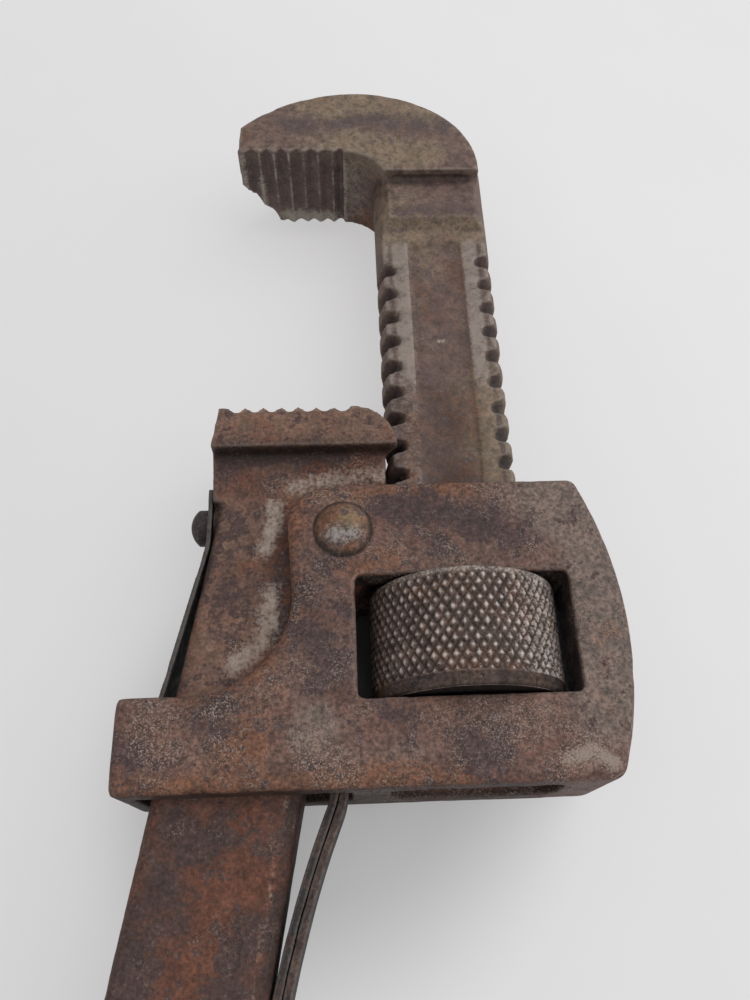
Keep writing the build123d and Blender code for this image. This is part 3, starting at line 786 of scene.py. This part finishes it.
def make_knurl():
    """Presses two crossing sets of grooves into the round face of a ring whose axis runs along Y."""
    tree = bpy.data.node_groups.new("knurl", "GeometryNodeTree")
    add_sockets(tree, "INPUT", "Geometry", "Geometry")
    add_sockets(tree, "OUTPUT", "Geometry", "Geometry")
    add_sockets(tree, "INPUT", "Float", "Teeth", "Pitch", "Depth", "Radius", "Band Low", "Band High")
    add_sockets(tree, "INPUT", "Vector", "Centre")
    given = put(tree, "NodeGroupInput").outputs
    band_fade = 0.0004
    skin_depth = 0.00005
    flat_tips = 2.1

    def work(operation, *values):
        """One step of arithmetic in this tree."""
        return reckon(tree, operation, *values)

    def groove(along):
        """1 half-way between two grooves and 0 in them, one groove at each whole number."""
        from_half = work("ABSOLUTE", work("SUBTRACT", work("FRACT", along), 0.5))
        return work("SUBTRACT", 1.0, work("MULTIPLY", from_half, 2.0))

    def store(geometry, name, value):
        """Keeps a value on the points for the nut's material."""
        sockets = {"Geometry": geometry, "Name": name, "Value": value}
        made = put(tree, "GeometryNodeStoreNamedAttribute", sockets, data_type="FLOAT", domain="POINT")
        return made.outputs[0]

    away = reckon_vector(tree, "SUBTRACT", put(tree, "GeometryNodeInputPosition").outputs[0], given["Centre"])
    axes = put(tree, "ShaderNodeSeparateXYZ", {0: away}).outputs
    reach = work("SQRT", work("MULTIPLY_ADD", axes[0], axes[0], work("MULTIPLY", axes[2], axes[2])))
    turn = work("MULTIPLY", work("DIVIDE", work("ARCTAN2", axes[0], axes[2]), 2 * math.pi), given["Teeth"])
    climb = work("DIVIDE", axes[1], given["Pitch"])
    peak = work("MINIMUM", groove(work("ADD", turn, climb)), groove(work("SUBTRACT", turn, climb)))
    tip = work("MINIMUM", work("MULTIPLY", peak, flat_tips), 1.0)
    valley = work("SUBTRACT", 1.0, tip)

    above_low = rise(tree, axes[1], given["Band Low"], work("ADD", given["Band Low"], band_fade))
    below_high = rise(tree, axes[1], given["Band High"], work("SUBTRACT", given["Band High"], band_fade))
    on_round = work("GREATER_THAN", reach, work("SUBTRACT", given["Radius"], skin_depth))
    band = work("MULTIPLY", work("MULTIPLY", above_low, below_high), on_round)

    sunk = work("MULTIPLY", work("MULTIPLY", valley, given["Depth"]), band)
    outward = reckon_vector(tree, "MULTIPLY", away, (1.0, 0.0, 1.0))
    outward = reckon_vector(tree, "NORMALIZE", outward)
    inwards_by = {0: outward, "Scale": work("MULTIPLY", sunk, -1.0)}
    push = put(tree, "ShaderNodeVectorMath", inwards_by, operation="SCALE").outputs[0]
    # Tips worn bright with painted glints, and valleys darkened by oil and painted shade
    bright = work("MULTIPLY", work("MULTIPLY", work("POWER", peak, 1.4), 1.3), band)
    valley_oil_and_shade = work("MULTIPLY", work("MULTIPLY", valley, 0.8), band)
    kept = store(store(given["Geometry"], "edge", bright), "hollow", valley_oil_and_shade)
    pressed = put(tree, "GeometryNodeSetPosition", {"Geometry": kept, "Offset": push}).outputs[0]
    real = put(tree, "GeometryNodeRealizeInstances", {0: pressed}).outputs[0]
    dressed = put(tree, "GeometryNodeSetMaterial", {"Geometry": real, "Material": nut_finish}).outputs[0]
    put(tree, "NodeGroupOutput", {"Geometry": dressed})
    return tree


plain_collar = 0.0024
far_margin = 0.0010
knurl = nut.modifiers.new("knurl", "NODES")
knurl.node_group = make_knurl()
knurl_sizes = {"Teeth": 57.0, "Pitch": 0.00273, "Depth": 0.0006, "Radius": nut_radius, "Centre": nut_centre,
               "Band Low": nut_low.y + plain_collar, "Band High": nut_high.y - far_margin}
for socket in knurl.node_group.interface.items_tree:
    if socket.in_out == "INPUT" and socket.name in knurl_sizes:
        knurl[socket.identifier] = knurl_sizes[socket.name]
turned = bpy.data.meshes.new_from_object(nut.evaluated_get(bpy.context.evaluated_depsgraph_get()))
nut.modifiers.remove(knurl)
nut.data = turned
turned.shade_smooth()

# Lathe lines on the plain collar, a painted highlight on the worn rim, and painted shade in the bore and on
# the end faces
rim_width = 0.00015
rim_depth = 0.0002
inside_bevel = bevel_edge - 0.0001
bevel_height = 0.0009
tip_depth = 0.0003
nut_points = read(turned.vertices, "co", 3)
nut_height = nut_points[:, 1]
from_axis = np.hypot(nut_points[:, 0] - axis_x, nut_points[:, 2] - middle)
from_end = np.minimum(nut_height - nut_low.y, nut_high.y - nut_height)
worn_rim_highlight = np.exp(-((from_axis - bevel_edge) / rim_width) ** 2) * (from_end < rim_depth)
collar = ramp(nut_height, nut_low.y + plain_collar + 0.0001, nut_low.y + plain_collar - 0.0002)
round_the_axis = np.array((0.02, 1.0, 0.02))
lathe_lines = 0.5 + 0.5 * ripple(nut_points * round_the_axis, size=0.0005, seed=51)
# The bore and the end faces are darkened as painted shade
shut_in = from_axis < inside_bevel
far_bevel = (nut_height > nut_high.y - bevel_height) * (from_axis > inside_bevel)
# The right side, towards the lamp, is worn bright on its tips and lightened there as painted light
right_side = ramp(nut_points[:, 0], axis_x + 0.002, axis_x + 0.010)
handled_and_lit_side = right_side * (from_axis > nut_radius - tip_depth) * (1 - collar)
keep(turned, "edge", most(layer_of(turned, "edge"), 0.95 * worn_rim_highlight))
keep(turned, "bare", most(0.45 * far_bevel, 0.6 * handled_and_lit_side))
keep(turned, "olive", far_bevel)
keep(turned, "chalk", 0.9 * worn_rim_highlight)
keep(turned, "hollow", most(layer_of(turned, "hollow"), collar * (0.4 + 0.5 * lathe_lines), shut_in))
keep(turned, "dark", most(shut_in, 0.2 * collar))
dress(nut, nut_finish, "adjusting_nut", "nut")


# Floor, light and camera
# A pale table top under one large soft lamp, high on the right, and a sky that is brightest overhead. The
# camera is held above the handle and looks down towards the hook.
table_half = 3
table_corners = [(-table_half, -table_half, 0), (table_half, -table_half, 0),
                 (table_half, table_half, 0), (-table_half, table_half, 0)]
table_mesh = bpy.data.meshes.new("table_top")
table_mesh.from_pydata(table_corners, [], [(0, 1, 2, 3)])
table_top = bpy.data.objects.new("table_top", table_mesh)
bpy.context.scene.collection.objects.link(table_top)


def distance(tree, vector, place):
    """How far a point lies from a place."""
    return put(tree, "ShaderNodeVectorMath", {0: vector, 1: place}, operation="DISTANCE").outputs["Value"]


def looked_at(tree):
    """1 for what the camera sees, directly or mirrored in metal, and 0 for light on its way to a surface."""
    rays = put(tree, "ShaderNodeLightPath").outputs
    return reckon(tree, "MAXIMUM", rays["Is Camera Ray"], rays["Is Glossy Ray"])


# The table is painted with a dark shadow under the frame's window, so that the gap beside the nut stays dark,
# and it glows a little for the camera as painted light, more towards the right and the far end, and less near
# the frame as a painted shadow
table_finish = bpy.data.materials.new("table_finish")
table_finish.use_nodes = True
table_tree = table_finish.node_tree
table_at = put(table_tree, "ShaderNodeTexCoord").outputs["Object"]
smears = rise(table_tree, cloud(table_tree, table_at, scale=14.0, detail=4.0, rough=0.6), 0.3, 0.7)
table_colour = lay(table_tree, smears, (0.765, 0.760, 0.765, 1), (0.800, 0.795, 0.795, 1))
squeezed = reckon_vector(table_tree, "MULTIPLY", table_at, (1.0, 0.5, 1.0))
gap_place = (0.0108, 0.0231, 0.0)
in_the_open = rise(table_tree, distance(table_tree, squeezed, gap_place), 0.006, 0.016)
table_colour = lay(table_tree, in_the_open, (0.12, 0.12, 0.12, 1), table_colour)
table_shader = table_tree.nodes["Principled BSDF"]
table_tree.links.new(table_colour, table_shader.inputs["Base Color"])
table_shader.inputs["Roughness"].default_value = 0.55
table_axes = put(table_tree, "ShaderNodeSeparateXYZ", {0: table_at}).outputs
glow_level = 0.715
glow_rightwards = 0.45
glow_far_off = 0.30
glow_most = 0.64
glow = sums(table_tree, glow_level, (table_axes["X"], glow_rightwards), (table_axes["Y"], glow_far_off))
glow = put(table_tree, "ShaderNodeClamp", {"Value": glow, "Min": 0.6, "Max": 0.8}).outputs[0]
# Painted shadow: the glow fades near the frame
frame_place = (0.004, 0.024, 0.0)
from_frame = distance(table_tree, table_at, frame_place)
glow = times(table_tree, glow, rise(table_tree, from_frame, 0.02, 0.05, to_low=0.62, to_high=1.0))
glow_share = times(table_tree, times(table_tree, looked_at(table_tree), in_the_open), glow_most)
lit = put(table_tree, "ShaderNodeEmission", {"Color": (1.0, 0.985, 0.99, 1), "Strength": glow}).outputs[0]
mixed = put(table_tree, "ShaderNodeMixShader", {0: glow_share, 1: table_shader.outputs[0], 2: lit}).outputs[0]
table_tree.links.new(mixed, table_tree.nodes["Material Output"].inputs["Surface"])
table_mesh.materials.append(table_finish)

lamp_place = Vector((0.75, 0.25, 1.00))
lamp_aim = Vector((0.0, 0.03, 0.0))
lamp_light = bpy.data.lights.new("window", "AREA")
lamp_light.size = 1.6
lamp_light.energy = 10.6
lamp = bpy.data.objects.new("window", lamp_light)
lamp.location = lamp_place
lamp.rotation_euler = (lamp_aim - lamp_place).to_track_quat("-Z", "Y").to_euler()
bpy.context.scene.collection.objects.link(lamp)

backdrop_strength = 0.70
world = bpy.data.worlds.new("room_light")
world.use_nodes = True
sky = world.node_tree
sky_at = put(sky, "ShaderNodeTexCoord").outputs["Generated"]
sky_height = put(sky, "ShaderNodeSeparateXYZ", {0: sky_at}).outputs["Z"]
overhead = rise(sky, sky_height, 0.0, 0.6, to_low=0.1, to_high=0.66)
strength = put(sky, "ShaderNodeMix", {0: looked_at(sky), 2: overhead, 3: backdrop_strength}).outputs[0]
sky.nodes["Background"].inputs["Color"].default_value = (0.985, 0.99, 1.0, 1)
sky.links.new(strength, sky.nodes["Background"].inputs["Strength"])
bpy.context.scene.world = world
bpy.context.scene.view_settings.view_transform = "Standard"

camera_place = (0.007873, 0.000397, 0.16775)
tilt = math.radians(64.15)
roll = Matrix.Rotation(math.radians(2.74), 3, "Z")
yaw = Matrix.Rotation(math.radians(4.54), 3, "Z")
lens = bpy.data.cameras.new("camera")
lens.sensor_fit = "HORIZONTAL"
lens.sensor_width = 36.0
lens.lens = 40.224
lens.clip_start = 0.01
camera = bpy.data.objects.new("camera", lens)
tilted = Matrix(((1, 0, 0), (0, -math.sin(tilt), -math.cos(tilt)), (0, math.cos(tilt), -math.sin(tilt))))
# The rows of look point to the picture's right, to its foot and into it
look = roll @ tilted @ yaw
aim = Matrix((look[0], -look[1], -look[2])).transposed().to_4x4()
camera.matrix_world = Matrix.Translation(camera_place) @ aim
bpy.context.scene.collection.objects.link(camera)
bpy.context.scene.camera = camera
